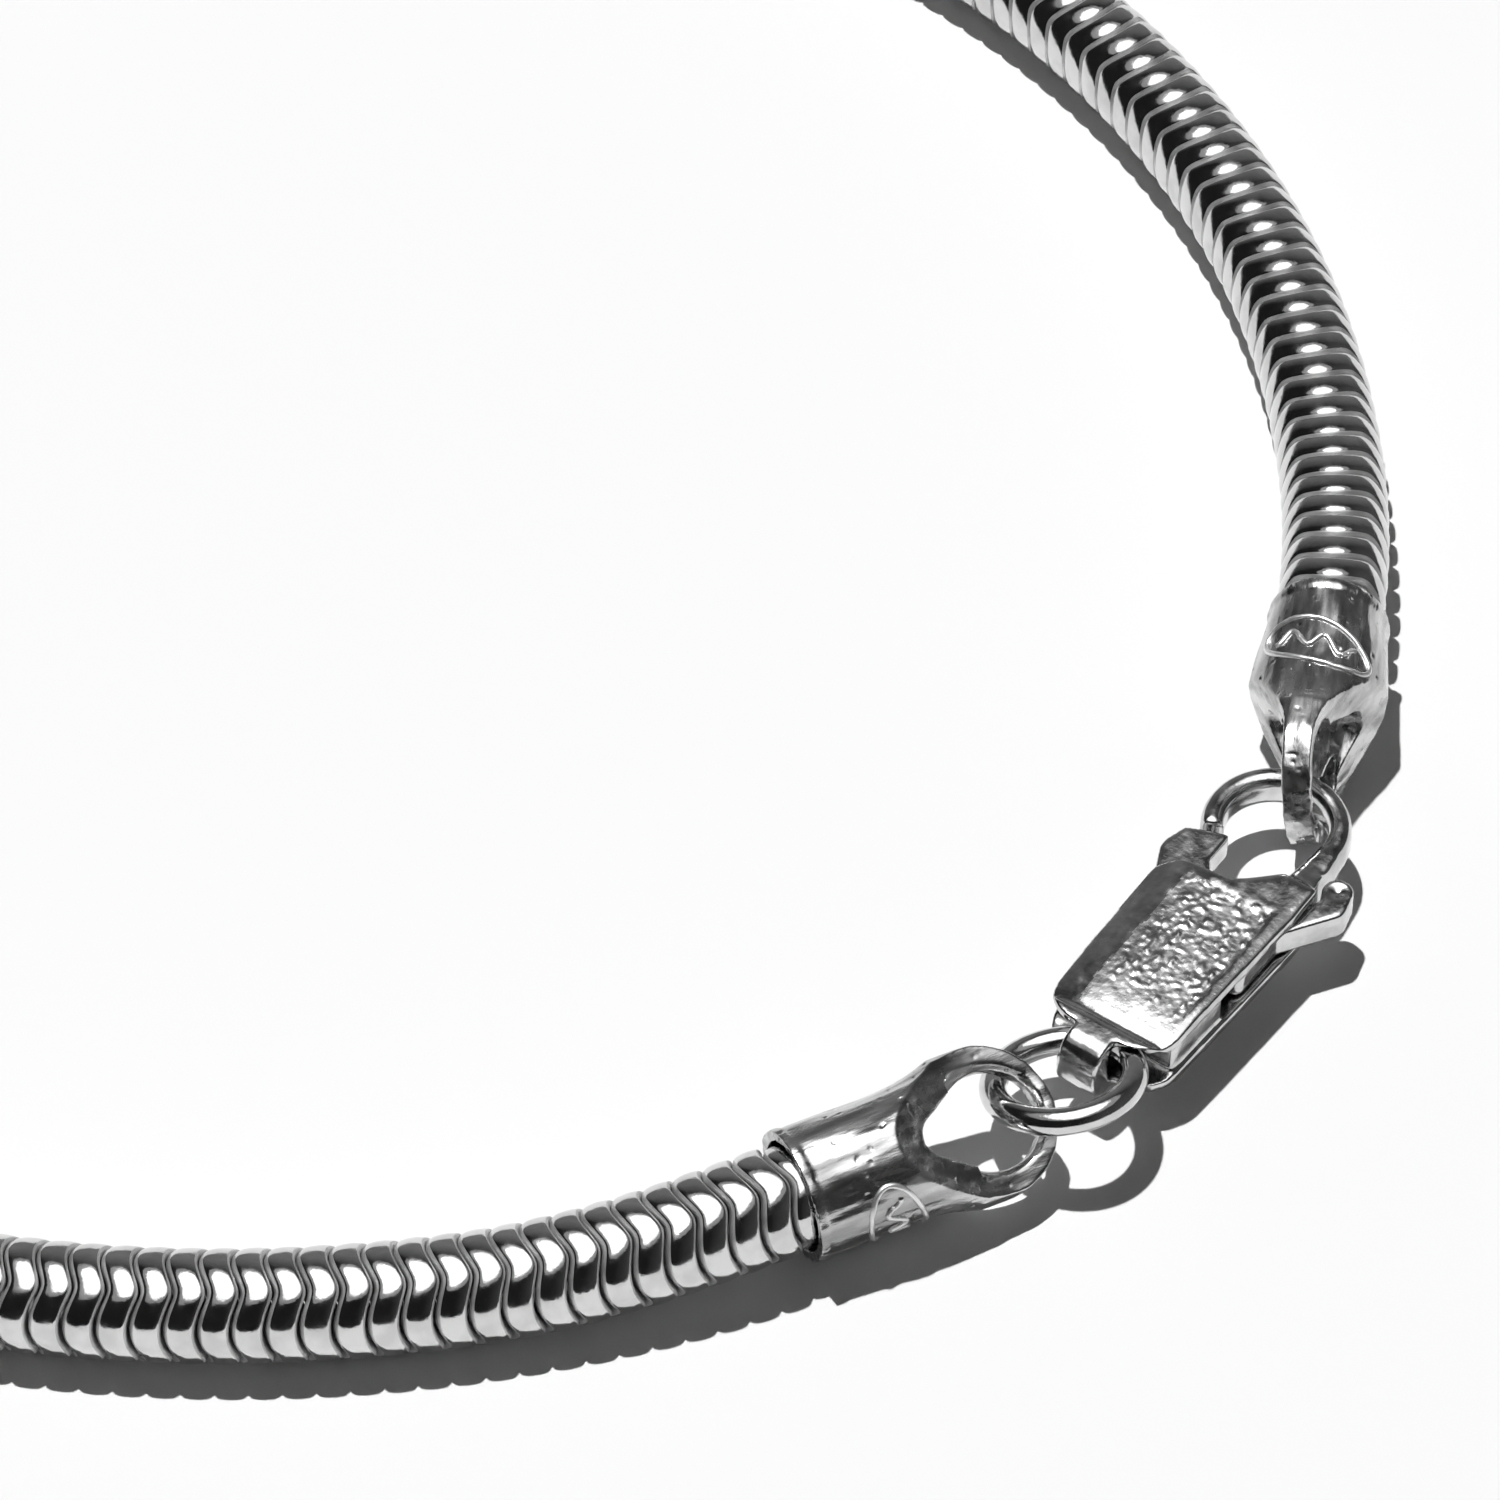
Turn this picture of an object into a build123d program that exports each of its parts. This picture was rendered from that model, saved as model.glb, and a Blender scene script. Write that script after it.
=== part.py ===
"""Round snake chain bracelet with two eye caps, a jump ring and a lobster clasp, lying closed and flat.

Lengths are millimetres and angles are degrees. Headings are seen from above, from +X towards +Y.
The bracelet lies on the plane Z = 0, with +Z up. The layout starts at the clasp's tail, and every
other piece takes its place from the piece that carries it. At the end all is moved so that the
origin is the middle of the loop's box, on the surface that the bracelet lies on.
"""
import os
from math import asin, atan2, cos, degrees, floor, radians, sin, sqrt

from build123d import *

os.makedirs("parts", exist_ok=True)

# Chain
chain_diameter = 3.2
chain_end_diameter = 3.0
ring_pitch = 0.9
ring_gap = 0.17
ring_wall = 0.42
wave_height = 0.28
wave_turn_left = 23.0
wave_turn_right = 3.0
skirt_wall = 0.2
skirt_gap = 0.13

# End caps
cap_bore_gap = 0.1
mouth_half_width = 1.9
mouth_half_height = 1.76
belly_run = 2.3
belly_half_height = 2.02
rim_bead = 0.08
rim_length = 0.3
cap_length = 8.05
socket_depth = 2.6
chain_in_socket = 2.3
ear_start = 3.2
eye_start = 5.0
eye_half_height = 2.25
eye_side_wall = 0.85
eye_wall = 0.54
hole_start = 3.8
hole_root_radius = 0.55
eye_edge = 0.2
strap_width = 0.92
taper_start = 2.8
taper_middle = 4.4
taper_middle_half_height = 1.1
taper_end = 6.5
ear_half_height = 2.1

# Jump ring
wire_diameter = 0.8
jump_ring_diameter = 4.8
jump_ring_tilt = 18.0
jump_ring_rise_heading = -62.0
jump_ring_slack = 0.25
jump_ring_room = 0.1

# Clasp body
clasp_height = 1.95
clasp_half_width = 2.24
clasp_tail_half_width = 2.02
body_start = 0.6
body_front = 7.5
plate_thickness = 0.4
tail_corner_radius = 1.35
front_corner_radius = 0.8
side_wall = 0.55
wall_inset = 0.14
wall_end = 4.1
tail_bar_length = 0.8
tail_half_width = 0.65
tail_slot_length = 1.3
tail_slot_height = 1.35
panel_border = 0.5
panel_depth = 0.12

# Hook
hook_radius = 2.19
hook_band = 0.69
hook_height = 1.15
hook_reach = 10.45
hook_offset = 0.34
hook_sweep = 128.0
hook_edge_round = 0.3
root_width = 1.15
root_slope = 1.8

# Trigger
pin_radius = 0.4
pin_gap = 0.05
pivot_reach = 5.25
pivot_offset = 0.35
hub_radius = 0.95
trigger_clearance = 0.18
trigger_play = 0.12
gate_heading = 19.0
gate_tip_radius = 0.55
gate_knuckle_reach = 8.0
gate_knuckle_offset = 1.88
gate_knuckle_radius = 0.74
thumb_arm_radius = 0.35
thumb_elbow_reach = 7.0
thumb_elbow_offset = -1.65
thumb_knee_reach = 8.7
thumb_knee_offset = -2.72
thumb_knee_radius = 0.4
thumb_tip_reach = 9.3
thumb_tip_offset = -2.5
thumb_tip_radius = 0.46
trigger_opening = 24.0

# How the pieces lie
clasp_heading = 54.5
clasp_lift = 0.9
hook_hang_angle = -20.0
hook_hang_gap = 0.64
right_cap_heading = 261.1
right_cap_roll = 98.0
ring_hang_heading = 216.0
ring_hang_gap = 0.42
left_cap_heading = 25.8
left_cap_roll = 30.0
cap_lift_run = 9.0

# Route of the chain beside each cap: arc length and bend radius
route_from_left_cap = [(10.2, 34.4), (13.8, 38.7)]
route_from_right_cap = [(9.6, 35.0), (18.6, 32.7)]

# Worked out
chain_radius = chain_diameter / 2
chain_end_radius = chain_end_diameter / 2
cap_bore = chain_end_radius + cap_bore_gap
eye_centre = cap_length - eye_half_height
hole_radius = eye_half_height - eye_side_wall
hole_centre = cap_length - eye_wall - hole_radius
wire_radius = wire_diameter / 2
jump_ring_radius = jump_ring_diameter / 2 - wire_radius
slot_end = tail_bar_length / 2 + tail_slot_length
hook_inner = hook_radius - hook_band
hook_bottom = (clasp_height - hook_height) / 2
hook_tip_x = hook_reach + hook_radius * cos(radians(hook_sweep))
hook_tip_y = hook_offset + hook_radius * sin(radians(hook_sweep))
gate_reach = sqrt((hook_tip_x - pivot_reach) ** 2 + (hook_tip_y - pivot_offset) ** 2)
trigger_bottom = plate_thickness + trigger_play
trigger_height = clasp_height - 2 * trigger_bottom


def polar(heading, length=1.0):
    """Plan vector of a given heading and length."""
    return Vector(length * cos(radians(heading)), length * sin(radians(heading)), 0)


def link(start, start_radius, end, end_radius):
    """Face round two circles and everything between them."""
    start, end = Vector(*start), Vector(*end)
    run = end - start
    heading = degrees(atan2(run.Y, run.X))
    lean = degrees(asin((end_radius - start_radius) / run.length))
    corners = [
        start + polar(heading + 90 + lean, start_radius), end + polar(heading + 90 + lean, end_radius),
        end + polar(heading - 90 - lean, end_radius), start + polar(heading - 90 - lean, start_radius),
    ]
    sides = make_face(Polyline(*corners, close=True))
    return sides + Location(start) * Circle(start_radius) + Location(end) * Circle(end_radius)


def box_between(x0, x1, y0, y1, z0, z1):
    """Box with the given lowest and highest faces."""
    middle = ((x0 + x1) / 2, (y0 + y1) / 2, (z0 + z1) / 2)
    return Location(middle) * Box(x1 - x0, y1 - y0, z1 - z0)


def make_ring(outside):
    """One ring of the chain, with its axis on X: a band with waved rims, and a skirt inside.

    The rims reach forward at the top, bottom and sides, and back between them. The skirt runs
    forward under the band of the next ring.
    """
    band_length = ring_pitch - ring_gap
    half_blank = band_length / 2 + wave_height
    start = Plane.YZ.offset(-half_blank)
    blank = extrude(start * Circle(outside), amount=2 * half_blank)
    hollow = extrude(start * Circle(chain_radius - ring_wall), amount=2 * half_blank)
    wave_slope = wave_height / (chain_radius * (1 - sqrt(0.5)))
    tip = (band_length + wave_height) / 2 - wave_slope * chain_radius
    tail = tip + wave_slope * chain_diameter
    wedge = make_face(
        Polyline((tip, 0), (tail, chain_diameter), (tail, -chain_diameter), close=True))
    across = extrude(Plane.XZ.offset(-chain_diameter) * wedge, amount=2 * chain_diameter)
    front = across & Rot(90, 0, 0) * across
    back = Pos(-band_length, 0, 0) * front
    band = (blank - hollow) & (back - front)
    skirt_radius = chain_radius - ring_wall - skirt_gap
    web_half = ring_gap / 2
    skirt_end = ring_pitch - web_half - skirt_gap
    profile = make_face(
        Polyline(
            (-web_half, skirt_radius - skirt_wall), (skirt_end, skirt_radius - skirt_wall),
            (skirt_end, skirt_radius), (web_half, skirt_radius),
            (web_half, chain_radius - ring_wall / 2), (-web_half, chain_radius - ring_wall / 2),
            close=True,
        )
    )
    return band + revolve(profile, Axis.X)


def strap_outline():
    """Outline of an end cap seen across its hole: it tapers from the tube to the strap."""
    half_strap = strap_width / 2
    half_tube = ear_half_height
    run = taper_middle - taper_start
    side = Spline(
        (taper_start, half_tube), (taper_middle, taper_middle_half_height), (taper_end, half_strap),
        tangents=[(run, taper_middle_half_height - half_tube), (1, 0)],
    )
    upper = [Line((0, half_tube), (taper_start, half_tube)), side,
             Line((taper_end, half_strap), (cap_length, half_strap))]
    lower = [mirror(edge, about=Plane.XZ) for edge in upper]
    ends = [Line((0, -half_tube), (0, half_tube)),
            Line((cap_length, -half_strap), (cap_length, half_strap))]
    return make_face(upper + lower + ends)


def make_cap():
    """End cap with its axis on X, its mouth at X = 0 and its teardrop hole along Z.

    Its tube is oval, and bellies out before the ears, where it parts into the eye's two sides.
    """
    reach = 2 * ear_half_height
    mouth = Plane.YZ * Ellipse(mouth_half_width, mouth_half_height)
    belly = Plane.YZ.offset(belly_run) * Ellipse(mouth_half_width, belly_half_height)
    ears = Plane.YZ.offset(ear_start) * Ellipse(mouth_half_width, ear_half_height)
    eye = Plane.YZ.offset(eye_start) * Ellipse(eye_half_height, ear_half_height)
    rim = Plane.YZ * Ellipse(mouth_half_width + rim_bead, mouth_half_height + rim_bead)
    blank = loft([mouth, belly, ears, eye]) + extrude(eye, amount=cap_length - eye_start)
    side = Pos(eye_centre / 2, 0) * Rectangle(eye_centre, 2 * reach) + Pos(eye_centre, 0) * Circle(
        eye_half_height)
    cap = blank & extrude(side, amount=reach, both=True)
    cap = cap & extrude(Plane.XZ * strap_outline(), amount=reach, both=True)
    hole = link((hole_start + hole_root_radius, 0), hole_root_radius, (hole_centre, 0), hole_radius)
    cap = cap - extrude(hole, amount=reach, both=True) + extrude(rim, amount=rim_length)
    cap = cap - extrude(Plane.YZ * Circle(cap_bore), amount=socket_depth)
    flare = Cone(hole_radius, hole_radius + 2 * eye_edge, 2 * eye_edge)
    upper_flare = Pos(hole_centre, 0, strap_width / 2) * flare
    return cap - upper_flare - mirror(upper_flare, about=Plane.XY)


def plate_outline(inset=0.0):
    """Plan outline of the clasp's plates, from the tail to the hook's root, drawn in by the inset."""
    half = clasp_half_width - inset
    tail_half = clasp_tail_half_width - inset
    start = body_start + inset
    front = body_front - inset
    root_front = body_front + root_width - inset
    root_side = root_width - clasp_half_width - inset
    face = make_face(
        Polyline(
            (start, -tail_half), (front, -half), (root_front, -half), (root_front, root_side),
            (front, root_side + root_width), (front, half), (start, tail_half), close=True,
        )
    )
    tail_corners = face.vertices().group_by(Axis.X)[0]
    face = fillet(tail_corners, tail_corner_radius)
    front_corner = face.vertices().sort_by_distance((front, half, 0))[0]
    return fillet(front_corner, front_corner_radius)


def make_wall():
    """Wall between the clasp's plates, across behind the tail slot and forward along both sides."""
    outer = plate_outline(wall_inset)
    rim = outer - plate_outline(wall_inset + side_wall)
    keep = Pos((slot_end + wall_end) / 2, 0) * Rectangle(wall_end - slot_end, 4 * clasp_half_width)
    across = Pos(slot_end + side_wall / 2, 0) * Rectangle(side_wall, 4 * clasp_half_width)
    plan = (rim & keep) + (across & outer)
    return Pos(0, 0, plate_thickness) * extrude(plan, amount=clasp_height - 2 * plate_thickness)


def make_tail():
    """Tail eye of the clasp: a bar with a rounded end, and the slot behind it for the jump ring."""
    bar = box_between(
        -tail_bar_length / 2, slot_end + side_wall, -tail_half_width, tail_half_width, 0, clasp_height)
    end_edges = bar.edges().filter_by(Axis.Y).group_by(Axis.X)[0]
    bar = fillet(end_edges, tail_bar_length)
    slot_bottom = (clasp_height - tail_slot_height) / 2
    slot = box_between(
        tail_bar_length / 2, slot_end, -2 * clasp_half_width, 2 * clasp_half_width,
        slot_bottom, clasp_height - slot_bottom,
    )
    return bar, fillet(slot.edges().filter_by(Axis.Y), tail_slot_length / 4)


def make_hook():
    """Hook of the clasp: a round band, and a root that slopes from the plates to the band."""
    profile = Pos(hook_radius - hook_band / 2, 0) * RectangleRounded(
        hook_band, hook_height, hook_edge_round)
    band = revolve(Plane.XZ * profile, Axis.Z, hook_sweep + 90).rotate(Axis.Z, -90)
    band = Pos(hook_reach, hook_offset, clasp_height / 2) * band
    gate_room = Pos(pivot_reach, pivot_offset, 0) * Cylinder(
        gate_reach + trigger_clearance / 2, 3 * clasp_height)
    root_back = body_front - trigger_clearance
    root_side = root_width - clasp_half_width
    root_plan = make_face(
        Polyline(
            (root_back, -clasp_half_width), (body_front, -clasp_half_width),
            (hook_reach, hook_offset - hook_radius), (hook_reach, hook_offset - hook_inner),
            (body_front + root_width, root_side), (root_back, root_side), close=True,
        )
    )
    hook_top = hook_bottom + hook_height
    slope_start = body_front + trigger_clearance
    slope_end = slope_start + root_slope
    slope = make_face(
        Polyline(
            (root_back, 0), (slope_start, 0), (slope_end, hook_bottom), (hook_reach, hook_bottom),
            (hook_reach, hook_top), (slope_end, hook_top), (slope_start, clasp_height),
            (root_back, clasp_height), close=True,
        )
    )
    root = extrude(root_plan, amount=clasp_height) & extrude(
        Plane.XZ * slope, amount=2 * clasp_half_width, both=True)
    return (band - gate_room) + root


def trigger_outline(grow=0.0):
    """Plan outline of the trigger: hub, gate arm and thumb piece, drawn larger by the amount given."""
    pivot = Vector(pivot_reach, pivot_offset, 0)
    gate_tip = pivot + polar(gate_heading, gate_reach)
    elbow = Vector(thumb_elbow_reach, thumb_elbow_offset, 0)
    knee = Vector(thumb_knee_reach, thumb_knee_offset, 0)
    thumb_tip = Vector(thumb_tip_reach, thumb_tip_offset, 0)
    knuckle = Vector(gate_knuckle_reach, gate_knuckle_offset, 0)
    arm_start = Vector(pivot_reach, thumb_elbow_offset, 0)
    gate = link(pivot, hub_radius + grow, knuckle, gate_knuckle_radius + grow)
    gate = gate + link(knuckle, gate_knuckle_radius + grow, gate_tip, gate_tip_radius + grow)
    gate = gate & (Location(pivot) * Circle(gate_reach + grow - trigger_clearance / 2))
    thumb = link(pivot, hub_radius + grow, arm_start, thumb_arm_radius + grow)
    thumb = thumb + link(arm_start, thumb_arm_radius + grow, elbow, thumb_arm_radius + grow)
    thumb = thumb + link(elbow, thumb_arm_radius + grow, knee, thumb_knee_radius + grow)
    return gate + thumb + link(knee, thumb_knee_radius + grow, thumb_tip, thumb_tip_radius + grow)


def make_trigger():
    """Trigger of the clasp, at rest with its gate across the hook's mouth."""
    body = Pos(0, 0, trigger_bottom) * extrude(trigger_outline(), amount=trigger_height)
    bore = Pos(pivot_reach, pivot_offset, clasp_height / 2) * Cylinder(
        pin_radius + pin_gap, clasp_height)
    return body - bore


def trigger_room(share):
    """Room that the trigger needs when it is turned by a share of its opening."""
    room = Pos(0, 0, plate_thickness) * extrude(
        trigger_outline(trigger_clearance), amount=clasp_height - 2 * plate_thickness)
    return room.rotate(Axis((pivot_reach, pivot_offset, 0), (0, 0, 1)), -share * trigger_opening)


def make_pin():
    """Pin that the trigger turns on, flush with the faces of the clasp."""
    return Pos(pivot_reach, pivot_offset, clasp_height / 2) * Cylinder(pin_radius, clasp_height)


def make_clasp_body():
    """Clasp body in one piece: two plates, a wall round the tail, the tail eye and the hook."""
    lower = extrude(plate_outline(), amount=plate_thickness)
    upper = Pos(0, 0, clasp_height - plate_thickness) * lower
    bar, slot = make_tail()
    body = lower + upper + make_wall() + bar - slot
    body = body + make_hook()
    for share in (0.0, 0.5, 1.0):
        body = body - trigger_room(share)
    panel = plate_outline(panel_border) & (
        Pos((slot_end + body_front) / 2, 0) * Rectangle(body_front - slot_end, 2 * clasp_half_width))
    body = body - Pos(0, 0, clasp_height - panel_depth) * extrude(panel, amount=clasp_height)
    return body - make_pin()


def arc_between(start, heading, end):
    """Length and bend (1 / radius, left positive) of the arc that leaves on a heading for a point."""
    chord = end - start
    sweep = 2 * radians((degrees(atan2(chord.Y, chord.X)) - heading + 180) % 360 - 180)
    length = chord.length * (sweep / 2) / sin(sweep / 2)
    return length, sweep / length


def along(start, heading, length, bend):
    """Point and heading reached by an arc of a given length and bend."""
    half_turn = length * bend / 2
    chord = length * (sin(half_turn) / half_turn if half_turn else 1)
    return start + polar(heading + degrees(half_turn), chord), heading + degrees(2 * half_turn)


def chain_route(left_mouth, right_mouth):
    """Arcs of the chain's axis, from inside the left cap to inside the right one, seen from above.

    Each arc is its start point, heading, length and bend. The two arcs across the part of the loop
    that the photo leaves out join the two visible stretches, tangent at both ends.
    """
    point, heading = left_mouth + polar(left_cap_heading, chain_in_socket), left_cap_heading + 180
    forward = [(point, heading, chain_in_socket, 0.0)]
    point = left_mouth
    for length, radius in route_from_left_cap:
        forward.append((point, heading, length, -1 / radius))
        point, heading = along(*forward[-1])
    last, last_heading = right_mouth, right_cap_heading + 180
    backward = []
    for length, radius in route_from_right_cap:
        arc = (last, last_heading, length, 1 / radius)
        last, last_heading = along(*arc)
        backward.append((last, last_heading + 180, arc[2], -arc[3]))
    leave, arrive, gap = polar(heading), polar(last_heading + 180), last - point
    a = 2 * (1 - leave.dot(arrive))
    b = 2 * gap.dot(leave + arrive)
    reach = (sqrt(b * b + 4 * a * gap.dot(gap)) - b) / (2 * a)
    middle = (point + last + (leave - arrive) * reach) * 0.5
    first = (point, heading, *arc_between(point, heading, middle))
    second_heading = along(*first)[1]
    second = (middle, second_heading, *arc_between(middle, second_heading, last))
    end = (right_mouth, right_cap_heading, chain_in_socket, 0.0)
    return forward + [first, second] + backward[::-1] + [end]


def lift(distance, height):
    """Height and slope of the chain's axis, a distance from a mouth that holds it at a height."""
    share = min(max(1 - distance / cap_lift_run, 0), 1)
    rise = height - chain_radius
    return rise * share**2 * (3 - 2 * share), -rise * 6 * share * (1 - share) / cap_lift_run


def make_chain(route, left_height, right_height):
    """All rings of the chain, evenly spaced along the route, the ones in the caps turned down."""
    total = sum(arc[2] for arc in route)
    count = floor(total / ring_pitch)
    ring, end_ring = make_ring(chain_radius), make_ring(chain_end_radius)
    rings = []
    for number in range(count):
        distance = (number + 0.5) * total / count
        run = distance
        arcs = iter(route)
        arc = next(arcs)
        while run > arc[2]:
            run -= arc[2]
            arc = next(arcs)
        point, heading = along(arc[0], arc[1], run, arc[3])
        rise, slope = lift(distance - chain_in_socket, left_height)
        fall, back_slope = lift(total - chain_in_socket - distance, right_height)
        pitch = degrees(atan2(slope - back_slope, 1))
        place = Location(point + Vector(0, 0, chain_radius + rise + fall)) * Rot(0, 0, heading)
        turn = wave_turn_left + (wave_turn_right - wave_turn_left) * distance / total
        inside = min(distance, total - distance) < chain_in_socket
        rings.append(place * Rot(0, -pitch, 0) * Rot(turn, 0, 0) * (end_ring if inside else ring))
    return rings


def cap_place(cap, eye_end, heading, roll):
    """Place of an end cap that lies on the surface, with the end of its eye's hole at a point."""
    turn = Rot(0, 0, heading) * Rot(roll, 0, 0)
    mouth = eye_end - polar(heading, cap_length - eye_wall)
    return Pos(mouth.X, mouth.Y, -(turn * cap).bounding_box().min.Z) * turn


clasp_place = Pos(0, 0, clasp_lift) * Rot(0, 0, clasp_heading)
cap = make_cap()

slot_wire = tail_bar_length / 2 + jump_ring_slack + wire_radius
slot_middle = (clasp_place * Pos(slot_wire, 0, clasp_height / 2)).position
ring_normal = polar(jump_ring_rise_heading + 180, sin(radians(jump_ring_tilt))) + Vector(
    0, 0, cos(radians(jump_ring_tilt)))
ring_run = polar(clasp_heading + 90).cross(ring_normal).normalized()
ring_centre = slot_middle - ring_run * jump_ring_radius
hang_point = ring_centre + polar(ring_hang_heading, jump_ring_radius)
left_eye_end = hang_point + polar(left_cap_heading, wire_radius + ring_hang_gap)
left_place = cap_place(cap, left_eye_end, left_cap_heading, left_cap_roll)

hook_centre = (clasp_place * Pos(hook_reach, hook_offset)).position
right_eye_end = hook_centre + polar(clasp_heading + hook_hang_angle, hook_inner - hook_hang_gap)
right_place = cap_place(cap, right_eye_end, right_cap_heading, right_cap_roll)

left_mouth = Vector(left_place.position.X, left_place.position.Y, 0)
right_mouth = Vector(right_place.position.X, right_place.position.Y, 0)
route = chain_route(left_mouth, right_mouth)

ring_plane = Plane(ring_centre, z_dir=ring_normal)
ring_room = ring_plane * Torus(jump_ring_radius, wire_radius + jump_ring_room)

nodes = {
    "snake_chain": make_chain(route, left_place.position.Z, right_place.position.Z),
    "end_cap_left": [left_place * cap],
    "end_cap_right": [right_place * cap],
    "jump_ring": [ring_plane * Torus(jump_ring_radius, wire_radius)],
    "clasp_body": [clasp_place * make_clasp_body() - ring_room],
    "pivot_pin": [clasp_place * make_pin()],
    "clasp_trigger": [clasp_place * make_trigger()],
}

boxes = [solid.bounding_box() for solids in nodes.values() for solid in solids]
middle_x = (min(box.min.X for box in boxes) + max(box.max.X for box in boxes)) / 2
middle_y = (min(box.min.Y for box in boxes) + max(box.max.Y for box in boxes)) / 2
home = Pos(-middle_x, -middle_y, 0)
for name, solids in nodes.items():
    export_step(Compound([home * solid for solid in solids]), f"parts/{name}.step")

pivot = (home * clasp_place * Pos(pivot_reach, pivot_offset, clasp_height / 2)).position
print("rings", len(nodes["snake_chain"]), "length", sum(arc[2] for arc in route))
print("clasp tail", (home * clasp_place).position, "pivot", pivot)
print("ring centre", (home * Location(ring_centre)).position, "normal", ring_normal)
print("mouths", (home * left_place).position, (home * right_place).position)
for point, heading, length, bend in route:
    print("arc", (home * Location(point)).position, heading, length, 1 / bend if bend else 0)
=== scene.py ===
"""Looks of the snake chain bracelet: chain rings, castings, silver, floor, lights and camera.

Shapes are worked out in millimetres, and a mesh is turned into metres where it is made. Headings
are degrees, seen from above, from +X towards +Y.
"""
from math import atan2, cos, degrees, floor, pi, radians, sin, sqrt, tan

import bmesh
import bpy
import numpy as np
from mathutils import Matrix, Vector, noise
from mathutils.bvhtree import BVHTree


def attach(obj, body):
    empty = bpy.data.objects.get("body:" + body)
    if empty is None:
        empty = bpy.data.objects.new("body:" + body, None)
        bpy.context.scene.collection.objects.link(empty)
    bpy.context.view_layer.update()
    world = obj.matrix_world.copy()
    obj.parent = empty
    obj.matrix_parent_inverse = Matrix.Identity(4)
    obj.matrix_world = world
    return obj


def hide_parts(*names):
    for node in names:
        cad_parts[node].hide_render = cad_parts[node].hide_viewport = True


mm = 0.001

# Places of the castings, as the CAD has them
clasp_tail = Vector((24.2458, -23.2778, 0.9))
clasp_heading = 54.5
left_mouth = Vector((16.065, -28.1216, 2.05242))
left_cap_heading = 25.8
left_cap_roll = 30.0
right_mouth = Vector((31.9079, -6.66616, 2.24719))
right_cap_heading = 261.1
right_cap_roll = 98.0
ring_centre = Vector((23.7061, -24.0344, 2.16196))
ring_normal = Vector((-0.145075, 0.272846, 0.951057))

# Chain
chain_diameter = 3.2
chain_end_diameter = 3.0
ring_pitch = 0.9
wave_height = 0.28
wave_rounding = 0.3
wave_turn_left = 23.0
wave_turn_right = 3.0
chain_in_socket = 2.3
cap_lift_run = 9.0
route_from_left_cap = [(10.2, 34.4), (13.8, 38.7)]
route_from_right_cap = [(9.6, 35.0), (18.6, 32.7)]
ring_sides = 80
# Section of a ring: place along the chain and depth under the chain's outside
ring_section = [
    (-0.41, 0.34), (-0.42, 0.2), (-0.415, 0.11), (-0.395, 0.065), (-0.35, 0.034), (-0.27, 0.016),
    (-0.16, 0.004), (-0.04, 0.0), (0.08, 0.005), (0.19, 0.018), (0.27, 0.036), (0.32, 0.06),
    (0.365, 0.095), (0.4, 0.14), (0.43, 0.21), (0.44, 0.29), (0.42, 0.37), (0.3, 0.4),
]
crown_rows = range(4, 11)

# Jump ring
jump_ring_radius = 2.0
wire_radius = 0.4

# Castings
voxel = 0.06
fine_streak = 0.32
broad_streak = 0.9
broad_share = 0.6
streak_height = 0.03
pit_size = 0.2
pit_depth = 0.035
cartouche_middle = 2.45
cartouche_skew = 0.42
cartouche_bow = 0.15
cartouche_half_length = 0.83
cartouche_half_turn = 52.0
left_cartouche_tilt = 12.0
right_cartouche_tilt = -2.0
cartouche_line = 0.085
waved_line_height = 0.24
waved_line_reach = 0.72
waved_line_turns = 3.5
pellet_radius = 0.09
pellet_step = 0.29
pellet_offset = 0.34

# Clasp: soft steps along it (x), across it (y) and up it (z), as where each starts and ends
hook_step = (7.3, 8.2)
skin_step = (1.5, 1.75)
tail_step = (0.9, 1.3)
top_right_step = (-1.95, -1.75)
top_left_step = (1.75, 1.95)
top_end_step = (7.45, 7.9)
panel_right_step = (-1.85, -1.6)
panel_left_step = (0.8, 1.5)
panel_tail_step = (1.0, 1.8)
panel_end_step = (6.8, 7.4)
pebble_step = (1.8, 3.0)
# Fall of the clasp's top towards its edges: where it starts, its length and its depth
left_fall = (0.2, 1.9, 0.34)
right_fall = (1.75, 0.5, 0.06)
tail_fall = (-3.2, 2.4, 0.27)
clasp_top = 1.95
softening = 0.6
border_waver = 0.12
pebble_height = 0.032
panel_sunk = 0.04
thumb_tip = (9.3, -2.5)
dent_depth = 0.12
dent_radius = 0.22

# Lights, in metres, watts and degrees
light_run = Vector((0.19, -0.235, -1.0)).normalized()
key_power = 3.25
key_angle = 1.6
fill_power = 0.07
fill_angle = 170.0
softbox_power = 1.5
softbox_height = 0.6
softbox_width = 0.56
softbox_back_angle = 33.0
softbox_front_angle = 29.0
halo_power = 0.8
halo_width = 1.0
halo_depth = 0.95
halo_rise = 0.02
studio_dark = 0.014
studio_back = 0.2
studio_right = 0.06

# Silver: patches of tone, patches of wear, and grain
patch_scale = 1100.0
wear_scale = 2600.0
soft_detail = 4.0
grain_detail = 5.0

# Camera
camera_height = 48.2
camera_range = 249.0
camera_target = Vector((14.9258, -9.6978, 0.0))
focal_length = 204.0
sensor_width = 36.0


def polar(heading, length=1.0):
    return Vector((length * cos(radians(heading)), length * sin(radians(heading)), 0))


def placed(point, heading, roll=0.0):
    """Matrix, in millimetres, of a piece turned to a heading and rolled about its own axis."""
    return Matrix.Translation(point) @ Matrix.Rotation(radians(heading), 4, "Z") @ Matrix.Rotation(
        radians(roll), 4, "X")


def in_metres(place):
    return Matrix.Translation(place.translation * mm) @ place.to_3x3().to_4x4()


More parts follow.
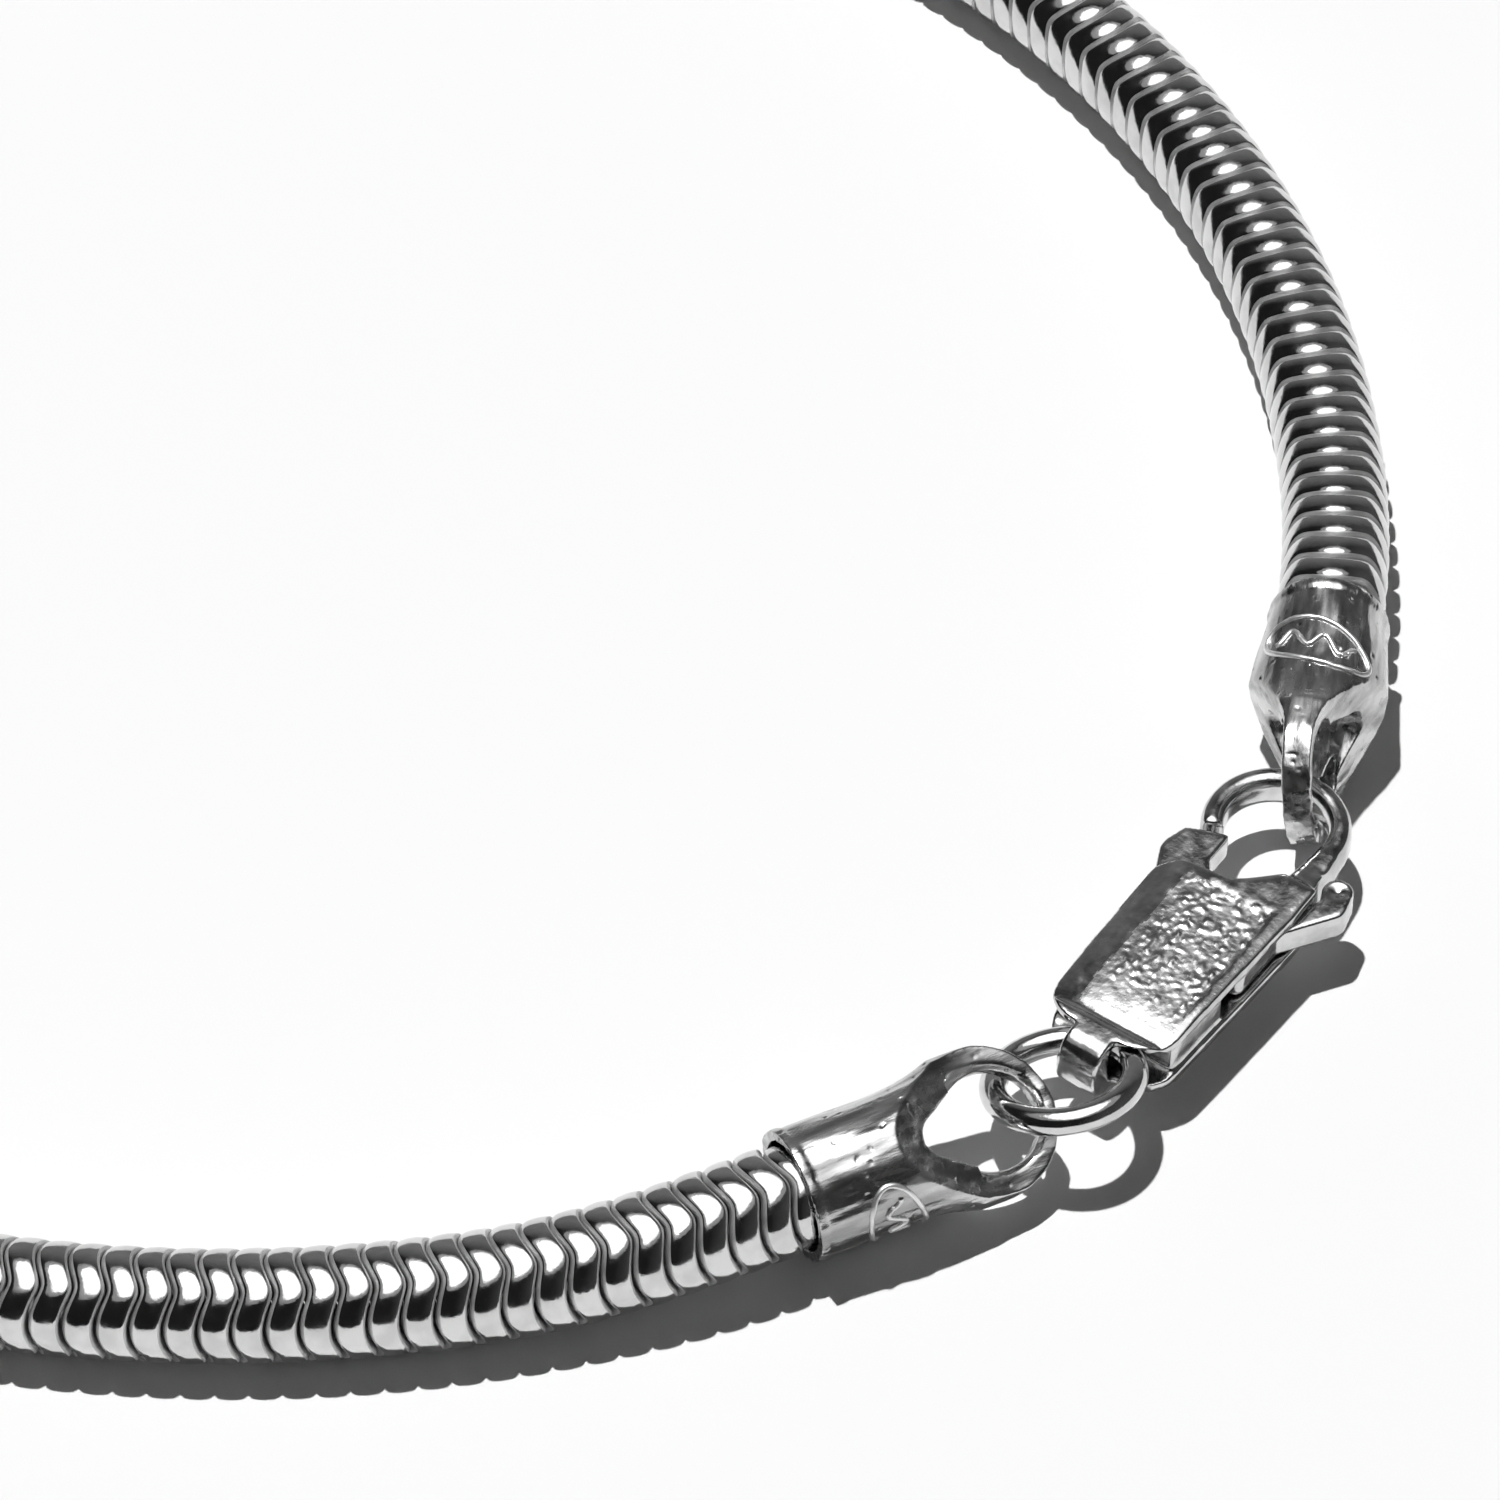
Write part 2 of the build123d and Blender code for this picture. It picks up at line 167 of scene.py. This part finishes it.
def new_piece(name, points, faces, place=Matrix.Identity(4)):
    """Mesh object from points in a piece's own millimetres, set in its place and shaded smooth."""
    mesh = bpy.data.meshes.new(name)
    mesh.from_pydata(np.asarray(points).tolist(), [], faces)
    mesh.transform(Matrix.Scale(mm, 4) @ place)
    mesh.polygons.foreach_set("use_smooth", [True] * len(mesh.polygons))
    piece = bpy.data.objects.new(name, mesh)
    bpy.context.scene.collection.objects.link(piece)
    return piece


def finish_piece(piece, body, metals, nodes):
    for metal in metals:
        piece.data.materials.append(metal)
    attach(piece, body)
    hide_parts(*nodes)


# Materials
def link_nodes(material):
    """Node tree, shader and object coordinates of a new material."""
    material.use_nodes = True
    tree = material.node_tree
    shader = next(n for n in tree.nodes if n.type == "BSDF_PRINCIPLED")
    coordinates = tree.nodes.new("ShaderNodeTexCoord")
    return tree, shader, coordinates.outputs["Object"]


def noise_node(tree, coordinates, place, stretch, scale, detail):
    """Noise along a piece's own axes, finer where the scale is larger."""
    mapping = tree.nodes.new("ShaderNodeMapping")
    mapping.vector_type = "TEXTURE"
    mapping.inputs["Rotation"].default_value = place.to_euler()
    mapping.inputs["Scale"].default_value = [1 / (s * scale) for s in stretch]
    tree.links.new(coordinates, mapping.inputs["Vector"])
    texture = tree.nodes.new("ShaderNodeTexNoise")
    texture.inputs["Scale"].default_value = 1.0
    texture.inputs["Detail"].default_value = detail
    tree.links.new(mapping.outputs["Vector"], texture.inputs["Vector"])
    return texture.outputs["Fac"]


def map_range(tree, value, low, high, to_low, to_high):
    node = tree.nodes.new("ShaderNodeMapRange")
    node.inputs["From Min"].default_value = low
    node.inputs["From Max"].default_value = high
    node.inputs["To Min"].default_value = to_low
    node.inputs["To Max"].default_value = to_high
    tree.links.new(value, node.inputs["Value"])
    return node.outputs["Result"]


def bump_node(tree, height, distance, strength):
    node = tree.nodes.new("ShaderNodeBump")
    node.inputs["Distance"].default_value = distance
    node.inputs["Strength"].default_value = strength
    tree.links.new(height, node.inputs["Height"])
    return node.outputs["Normal"]


def make_silver(name, tone, dark_tone, rough, worn, grain, height, stretch=(1, 1, 1),
                place=Matrix.Identity(4)):
    """Silver: tone and gloss vary in soft patches, with a fine grain in the surface."""
    material = bpy.data.materials.new(name)
    tree, shader, coordinates = link_nodes(material)
    shader.inputs["Metallic"].default_value = 1.0
    patches = noise_node(tree, coordinates, place, stretch, patch_scale, soft_detail)
    colour = tree.nodes.new("ShaderNodeMix")
    colour.data_type = "RGBA"
    colour.inputs[6].default_value = (dark_tone, dark_tone, dark_tone, 1)
    colour.inputs[7].default_value = (tone, tone, tone, 1)
    tree.links.new(map_range(tree, patches, 0.38, 0.58, 0, 1), colour.inputs[0])
    tree.links.new(colour.outputs[2], shader.inputs["Base Color"])
    wear = noise_node(tree, coordinates, place, stretch, wear_scale, soft_detail)
    tree.links.new(map_range(tree, wear, 0.35, 0.7, rough, worn), shader.inputs["Roughness"])
    fine = noise_node(tree, coordinates, place, stretch, grain, grain_detail)
    tree.links.new(bump_node(tree, fine, height, 1.0), shader.inputs["Normal"])
    return material


# Looks: light and dark tone, roughness where clean and where worn, grain scale and height
polished_look = (0.68, 0.58, 0.07, 0.17, 2600.0, 0.000009)
# Grooves between chain rings: satin roughness, and a darker tone that is painted shade between the rings
groove_look_with_painted_shade = (0.62, 0.5, 0.46, 0.58, 4500.0, 0.000006)
smooth_look = (0.66, 0.46, 0.1, 0.24, 4000.0, 0.000008)
pebbled_look = (0.46, 0.26, 0.24, 0.38, 6500.0, 0.00001)
cast_look = (0.62, 0.30, 0.16, 0.36, 4600.0, 0.000016)
satin_look = (0.82, 0.7, 0.36, 0.46, 5000.0, 0.000006)
polished = make_silver("polished_silver", *polished_look)
groove = make_silver("groove_silver_painted_shade", *groove_look_with_painted_shade)
satin = make_silver("satin_silver", *satin_look)

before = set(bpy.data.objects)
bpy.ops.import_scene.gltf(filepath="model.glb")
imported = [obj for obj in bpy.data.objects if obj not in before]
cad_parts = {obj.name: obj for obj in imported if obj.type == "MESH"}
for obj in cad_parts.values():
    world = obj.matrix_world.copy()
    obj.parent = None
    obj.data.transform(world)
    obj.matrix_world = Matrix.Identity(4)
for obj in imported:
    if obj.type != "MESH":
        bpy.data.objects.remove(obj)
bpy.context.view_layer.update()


# Chain
def arc_between(start, heading, end):
    """Length and bend (1 / radius, left positive) of the arc that leaves on a heading for a point."""
    chord = end - start
    sweep = 2 * radians((degrees(atan2(chord.y, chord.x)) - heading + 180) % 360 - 180)
    length = chord.length * (sweep / 2) / sin(sweep / 2)
    return length, sweep / length


def along(start, heading, length, bend):
    """Point and heading reached by an arc of a given length and bend."""
    half_turn = length * bend / 2
    chord = length * (sin(half_turn) / half_turn if half_turn else 1)
    return start + polar(heading + degrees(half_turn), chord), heading + degrees(2 * half_turn)


def chain_route():
    """Arcs of the chain's axis seen from above, the same as the CAD has."""
    left, right = left_mouth * Vector((1, 1, 0)), right_mouth * Vector((1, 1, 0))
    point, heading = left + polar(left_cap_heading, chain_in_socket), left_cap_heading + 180
    forward = [(point, heading, chain_in_socket, 0.0)]
    point = left
    for length, radius in route_from_left_cap:
        forward.append((point, heading, length, -1 / radius))
        point, heading = along(*forward[-1])
    last, last_heading = right, right_cap_heading + 180
    backward = []
    for length, radius in route_from_right_cap:
        arc = (last, last_heading, length, 1 / radius)
        last, last_heading = along(*arc)
        backward.append((last, last_heading + 180, arc[2], -arc[3]))
    leave, arrive, gap = polar(heading), polar(last_heading + 180), last - point
    a = 2 * (1 - leave.dot(arrive))
    b = 2 * gap.dot(leave + arrive)
    reach = (sqrt(b * b + 4 * a * gap.dot(gap)) - b) / (2 * a)
    middle = (point + last + (leave - arrive) * reach) * 0.5
    first = (point, heading, *arc_between(point, heading, middle))
    second_heading = along(*first)[1]
    second = (middle, second_heading, *arc_between(middle, second_heading, last))
    end = (right, right_cap_heading, chain_in_socket, 0.0)
    return forward + [first, second] + backward[::-1] + [end]


def lift(distance, height):
    """Height and slope of the chain's axis, a distance from a mouth that holds it at a height."""
    share = min(max(1 - distance / cap_lift_run, 0), 1)
    rise = height - chain_diameter / 2
    return rise * share**2 * (3 - 2 * share), -rise * 6 * share * (1 - share) / cap_lift_run


def ring_places():
    """Place of each ring of the chain, and whether it is inside a cap."""
    route = chain_route()
    total = sum(arc[2] for arc in route)
    count = floor(total / ring_pitch)
    places = []
    for number in range(count):
        distance = (number + 0.5) * total / count
        run = distance
        arcs = iter(route)
        arc = next(arcs)
        while run > arc[2]:
            run -= arc[2]
            arc = next(arcs)
        point, heading = along(arc[0], arc[1], run, arc[3])
        rise, slope = lift(distance - chain_in_socket, left_mouth.z)
        fall, back_slope = lift(total - chain_in_socket - distance, right_mouth.z)
        pitch = atan2(slope - back_slope, 1)
        point = point + Vector((0, 0, chain_diameter / 2 + rise + fall))
        place = placed(point, heading) @ Matrix.Rotation(-pitch, 4, "Y")
        turn = wave_turn_left + (wave_turn_right - wave_turn_left) * distance / total
        place = place @ Matrix.Rotation(radians(turn), 4, "X")
        places.append((place, min(distance, total - distance) < chain_in_socket))
    return places


def grid_faces(rows, columns, start=0):
    """Faces of a grid that closes on itself both ways."""
    row, column = np.meshgrid(np.arange(rows), np.arange(columns), indexing="ij")
    next_row, next_column = (row + 1) % rows, (column + 1) % columns
    corners = [row * columns + column, next_row * columns + column,
               next_row * columns + next_column, row * columns + next_column]
    return np.stack(corners, -1).reshape(-1, 4) + start


def ring_points(outside):
    """Points of one ring with its axis on X, row by row along its section."""
    angle = np.linspace(0, 2 * pi, ring_sides, endpoint=False)
    wave = np.sqrt(np.cos(2 * angle) ** 2 + wave_rounding**2)
    wave = wave_height * ((wave - wave.min()) / np.ptp(wave) - 0.5)
    section = np.array(ring_section)
    radius = outside - section[:, 1:]
    points = [section[:, :1] + wave, radius * np.cos(angle), radius * np.sin(angle)]
    return np.stack(points, -1).reshape(-1, 3)


def make_chain(parts=2):
    """Chain rings, polished on their crowns and satin in the grooves between them, where a darker tone
    paints shade.
    """
    places = ring_places()
    ring, end_ring = ring_points(chain_diameter / 2), ring_points(chain_end_diameter / 2)
    # Rows outside the crown take the groove silver, whose darker tone paints shade between the rings
    in_groove = [row not in crown_rows for row in range(len(ring_section)) for side in range(ring_sides)]
    share = -(-len(places) // parts)
    for part in range(parts):
        own = places[part * share:(part + 1) * share]
        points = np.concatenate([
            (end_ring if inside else ring) @ np.array(place.to_3x3()).T + np.array(place.translation)
            for place, inside in own])
        faces = np.concatenate([
            grid_faces(len(ring_section), ring_sides, number * len(ring)) for number in range(len(own))])
        piece = new_piece(f"chain_rings_{part + 1}", points, faces[:, ::-1].tolist())
        finish_piece(piece, "bracelet", [polished, groove], ["snake_chain"])
        piece.data.polygons.foreach_set("material_index", in_groove * len(own))


# Castings
def remeshed(nodes, place, rounds=4):
    """Points, faces and normals of CAD nodes in a piece's own millimetres, their edges softened."""
    solid = bmesh.new()
    for node in nodes:
        solid.from_mesh(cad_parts[node].data)
    mesh = bpy.data.meshes.new("source")
    solid.to_mesh(mesh)
    solid.free()
    mesh.transform(Matrix.Scale(1 / mm, 4) @ in_metres(place).inverted())
    source = bpy.data.objects.new("source", mesh)
    bpy.context.scene.collection.objects.link(source)
    weld = source.modifiers.new("weld", "WELD")
    weld.merge_threshold = 0.002
    remesh = source.modifiers.new("remesh", "REMESH")
    remesh.mode = "VOXEL"
    remesh.voxel_size = voxel
    smooth = source.modifiers.new("smooth", "SMOOTH")
    smooth.factor = 0.5
    smooth.iterations = rounds
    shape = source.evaluated_get(bpy.context.evaluated_depsgraph_get())
    made = bpy.data.meshes.new_from_object(shape)
    points, normals = np.zeros(len(made.vertices) * 3), np.zeros(len(made.vertices) * 3)
    made.vertices.foreach_get("co", points)
    made.vertices.foreach_get("normal", normals)
    faces = [tuple(face.vertices) for face in made.polygons]
    bpy.data.objects.remove(source)
    bpy.data.meshes.remove(mesh)
    bpy.data.meshes.remove(made)
    return points.reshape(-1, 3), faces, normals.reshape(-1, 3)


def noise_at(points, size, stretch=(1, 1, 1)):
    """Smooth noise, about -1 to 1, at each point."""
    scale = Vector(stretch) / size
    return np.array([noise.noise(Vector(point) * scale) for point in points])


def ramp(values, start, end):
    """Soft step from 0 at the start to 1 at the end."""
    share = np.clip((values - start) / (end - start), 0, 1)
    return share * share * (3 - 2 * share)


def down_ramp(values, start, end):
    """Soft step from 1 at the start to 0 at the end."""
    return 1 - ramp(values, start, end)


def edge_fall(values, start, length, depth):
    """Depth that grows with the square of the way past the start."""
    return depth * np.clip((values - start) / length, 0, 1) ** 2


def relaxed(points, faces, weight, rounds):
    """Points drawn towards their neighbours' middle, as much as each point's weight says."""
    corners = np.array([face for face in faces if len(face) == 4])
    pairs = np.concatenate([corners[:, [i, (i + 1) % 4]] for i in range(4)])
    count = np.bincount(pairs.ravel(), minlength=len(points))[:, None]
    for _ in range(rounds):
        total = np.zeros_like(points)
        np.add.at(total, pairs[:, 0], points[pairs[:, 1]])
        np.add.at(total, pairs[:, 1], points[pairs[:, 0]])
        points = points + weight[:, None] * (total / np.maximum(count, 1) - points)
    return points


def bead_line(path, radius, closed, sides=8):
    """Points and faces of a fine raised line along a path."""
    path = np.asarray(path)
    ahead, behind = np.roll(path, -1, 0), np.roll(path, 1, 0)
    if not closed:
        ahead[-1], behind[0] = path[-1], path[0]
    run = ahead - behind
    run /= np.linalg.norm(run, axis=1)[:, None]
    leaning_up = [0.13, 0.21, 0.97]
    side = np.cross(run, leaning_up)
    side /= np.linalg.norm(side, axis=1)[:, None]
    top = np.cross(side, run)
    angle = np.linspace(0, 2 * pi, sides, endpoint=False)
    points = path[:, None] + radius * (
        side[:, None] * np.cos(angle)[None, :, None] + top[:, None] * np.sin(angle)[None, :, None])
    faces = grid_faces(len(path), sides)
    if not closed:
        faces = faces[:-sides]
    return points.reshape(-1, 3), faces.tolist()


def pellet(centre, radius, rows=5, sides=10, pole_gap=0.2):
    """Points and faces of a small ball."""
    lift_angle = np.linspace(-pi / 2 + pole_gap, pi / 2 - pole_gap, rows)
    turn = np.linspace(0, 2 * pi, sides, endpoint=False)
    ring = np.stack(np.meshgrid(lift_angle, turn, indexing="ij"), -1).reshape(-1, 2)
    level, around = ring.T
    points = np.stack([np.cos(level) * np.cos(around), np.cos(level) * np.sin(around), np.sin(level)], -1)
    return np.asarray(centre) + radius * points, grid_faces(rows, sides).tolist()


def on_skin(tree, x, turn, side, clear=6):
    """Point on a cap's skin, at a length and a turn about its axis from its +Y or -Y side."""
    outward = Vector((0, side * cos(radians(turn)), sin(radians(turn))))
    hit = tree.ray_cast(Vector((x, 0, 0)) + outward * clear, -outward)[0]
    return np.array(hit)


def cartouche(points, faces, side, tilt):
    """Raised oval on a cap, with a wavy line and pellets in it."""
    tree = BVHTree.FromPolygons([Vector(p) for p in points], faces)

    def spot(along_axis, share):
        """Point at a length from the oval's middle and a share of its half turn."""
        x = cartouche_middle + along_axis - cartouche_skew * share + cartouche_bow * share**2
        return on_skin(tree, x, tilt + cartouche_half_turn * share, side)

    def waved(share):
        return sin(waved_line_turns * pi * share)

    oval = [spot(cartouche_half_length * cos(a), sin(a))
            for a in np.linspace(0, 2 * pi, 96, endpoint=False)]
    line = [spot(waved_line_height * waved(share), share)
            for share in np.linspace(-waved_line_reach, waved_line_reach, 60)]
    shapes = [bead_line(oval, cartouche_line, True), bead_line(line, cartouche_line, False)]
    for number in range(-2, 3):
        share = number * pellet_step
        shapes.append(pellet(spot(-pellet_offset * waved(share), share), pellet_radius))
    return shapes


def joined(shapes):
    """One set of points and faces from several."""
    points, faces, start = [], [], 0
    for own_points, own_faces in shapes:
        points.append(own_points)
        faces.extend([tuple(i + start for i in face) for face in own_faces])
        start += len(own_points)
    return np.concatenate(points), faces


def make_cap(node, mouth, heading, roll, side, tilt):
    """End cap: cast skin with lengthwise streaks, a few pits and the oval."""
    place = placed(mouth, heading, roll)
    points, faces, normals = remeshed([node], place, 7)
    streaks = noise_at(points, fine_streak, (0.2, 1, 1))
    streaks += broad_share * noise_at(points, broad_streak, (0.4, 1, 1))
    pits = ramp(noise_at(points, pit_size), 0.5, 0.66)
    height = streak_height * streaks - pit_depth * pits - streak_height
    points = points + normals * height[:, None]
    skin_faces = len(faces)
    points, faces = joined([(points, faces)] + cartouche(points, faces, side, tilt))
    metal = make_silver("cast_silver_" + node, *cast_look, stretch=(0.22, 1, 1), place=place)
    piece = new_piece("cast_" + node, points, faces, place)
    finish_piece(piece, "bracelet", [metal, satin], [node])
    for polygon in piece.data.polygons[skin_faces:]:
        polygon.material_index = 1


def make_clasp_body(place, metal):
    """Clasp body and pin, with a crowned, pebbled panel between smooth borders."""
    points, faces, _ = remeshed(["clasp_body", "pivot_pin"], place, 5)
    x, y, z = points.T
    hook = ramp(x, *hook_step)
    plate = ramp(z, *skin_step) * (1 - hook) * ramp(x, *tail_step)
    inside = plate * ramp(y, *top_right_step) * down_ramp(y, *top_left_step) * down_ramp(x, *top_end_step)
    points[:, 2] += (clasp_top - z) * inside
    points = relaxed(points, faces, softening * np.maximum(hook, inside), 14)
    fall = edge_fall(y, *left_fall) + edge_fall(-y, *right_fall) + edge_fall(-x, *tail_fall)
    points[:, 2] -= plate * fall
    edge = border_waver * noise_at(points, 0.5)
    panel = plate * ramp(y + edge, *panel_right_step) * down_ramp(y + edge, *panel_left_step)
    panel = panel * ramp(x + edge, *panel_tail_step) * down_ramp(x + edge, *panel_end_step)
    grains = ramp(noise_at(points, 0.2), 0.05, 0.5) + 0.6 * ramp(noise_at(points, 0.13), 0.1, 0.5)
    points[:, 2] += panel * ramp(x, *pebble_step) * (pebble_height * grains - panel_sunk)
    piece = new_piece("cast_clasp_body", points, faces, place)
    pebbled = make_silver("pebbled_silver", *pebbled_look, place=place)
    finish_piece(piece, "bracelet", [metal, pebbled], ["clasp_body", "pivot_pin"])
    for polygon, face in zip(piece.data.polygons, faces):
        polygon.material_index = int(panel[list(face)].mean() > 0.4)


def make_trigger(place, metal):
    """Trigger, with a dent in the top of its thumb piece."""
    points, faces, normals = remeshed(["clasp_trigger"], place, 8)
    away = np.hypot(points[:, 0] - thumb_tip[0], points[:, 1] - thumb_tip[1])
    points[:, 2] -= dent_depth * np.exp(-(away / dent_radius) ** 2) * (normals[:, 2] > 0.5)
    piece = new_piece("cast_clasp_trigger", points, faces, place)
    finish_piece(piece, "trigger", [metal], ["clasp_trigger"])


def make_jump_ring(rows=144, sides=32):
    """Jump ring of round wire."""
    turn = ring_normal.to_track_quat("Z", "Y").to_matrix().to_4x4()
    place = Matrix.Translation(ring_centre) @ turn
    round_angle, wire_angle = np.meshgrid(
        np.linspace(0, 2 * pi, rows, endpoint=False), np.linspace(0, 2 * pi, sides, endpoint=False),
        indexing="ij")
    radius = jump_ring_radius + wire_radius * np.cos(wire_angle)
    points = np.stack([radius * np.cos(round_angle), radius * np.sin(round_angle),
                       wire_radius * np.sin(wire_angle)], -1).reshape(-1, 3)
    piece = new_piece("round_jump_ring", points, grid_faces(rows, sides).tolist(), place)
    finish_piece(piece, "bracelet", [polished], ["jump_ring"])


make_chain()
make_cap("end_cap_left", left_mouth, left_cap_heading, left_cap_roll, -1, left_cartouche_tilt)
make_cap("end_cap_right", right_mouth, right_cap_heading, right_cap_roll, 1, right_cartouche_tilt)
clasp_place = placed(clasp_tail, clasp_heading)
clasp_metal = make_silver("cast_silver_clasp", *smooth_look, place=clasp_place)
make_clasp_body(clasp_place, clasp_metal)
make_trigger(clasp_place, clasp_metal)
make_jump_ring()


# Floor, lights and camera
def make_floor(half=3.0):
    mesh = bpy.data.meshes.new("floor")
    corners = [(-half, -half, 0), (half, -half, 0), (half, half, 0), (-half, half, 0)]
    mesh.from_pydata(corners, [], [(0, 1, 2, 3)])
    floor_piece = bpy.data.objects.new("floor", mesh)
    bpy.context.scene.collection.objects.link(floor_piece)
    material = bpy.data.materials.new("floor_paint")
    shader = link_nodes(material)[1]
    shader.inputs["Base Color"].default_value = (0.92, 0.92, 0.92, 1)
    shader.inputs["Roughness"].default_value = 0.9
    shader.inputs["Specular IOR Level"].default_value = 0.1
    mesh.materials.append(material)


def aim(thing, place, target, up="Y"):
    thing.location = place
    thing.rotation_euler = (Vector(target) - Vector(place)).to_track_quat("-Z", up).to_euler()


def make_light(name, kind, place, target, power, **sizes):
    data = bpy.data.lights.new(name, kind)
    data.energy = power
    for key, value in sizes.items():
        setattr(data, key, value)
    lamp = bpy.data.objects.new(name, data)
    bpy.context.scene.collection.objects.link(lamp)
    aim(lamp, place, target)
    return lamp


def make_panel(name, place, power, width, depth):
    """Round panel light over the bracelet, facing straight down and seen only in the metal."""
    below = place * Vector((1, 1, 0))
    panel = make_light(name, "AREA", target + place, target + below, power,
                       shape="ELLIPSE", size=width, size_y=depth)
    panel.visible_diffuse = False


def make_world():
    """Dark studio, lighter behind the bracelet and a little lighter to its right."""
    world = bpy.data.worlds.new("studio")
    bpy.context.scene.world = world
    world.use_nodes = True
    tree = world.node_tree
    background = next(n for n in tree.nodes if n.type == "BACKGROUND")
    coordinates = tree.nodes.new("ShaderNodeTexCoord")
    split = tree.nodes.new("ShaderNodeSeparateXYZ")
    tree.links.new(coordinates.outputs["Generated"], split.inputs["Vector"])
    back = map_range(tree, split.outputs["Y"], 0.6, 0.95, studio_dark, studio_back)
    right = map_range(tree, split.outputs["X"], 0.2, 0.9, 0.0, studio_right)
    both = tree.nodes.new("ShaderNodeMath")
    tree.links.new(back, both.inputs[0])
    tree.links.new(right, both.inputs[1])
    tree.links.new(both.outputs[0], background.inputs["Strength"])
    background.inputs["Color"].default_value = (1, 1, 1, 1)


make_floor()
target = camera_target * mm
make_light("key", "SUN", target - light_run, target, key_power, angle=radians(key_angle))
softbox_back = softbox_height * tan(radians(softbox_back_angle))
softbox_front = -softbox_height * tan(radians(softbox_front_angle))
softbox_place = Vector((0.0, (softbox_back + softbox_front) / 2, softbox_height))
halo_place = softbox_place + Vector((0, 0, halo_rise))
make_panel("softbox", softbox_place, softbox_power, softbox_width, softbox_back - softbox_front)
make_panel("halo", halo_place, halo_power, halo_width, halo_depth)
fill = make_light("fill", "SUN", target + Vector((0, 0, 1)), target, fill_power, angle=radians(fill_angle))
fill.visible_glossy = False
make_world()

camera_data = bpy.data.cameras.new("camera")
camera_data.lens = focal_length
camera_data.sensor_width = sensor_width
camera_data.clip_start = 0.01
camera_data.clip_end = 20.0
camera = bpy.data.objects.new("camera", camera_data)
bpy.context.scene.collection.objects.link(camera)
camera_back = Vector((0, -cos(radians(camera_height)), sin(radians(camera_height))))
camera.location = target + camera_back * camera_range * mm
camera.rotation_euler = (radians(90 - camera_height), 0, 0)
bpy.context.scene.camera = camera
bpy.context.scene.view_settings.view_transform = "Standard"
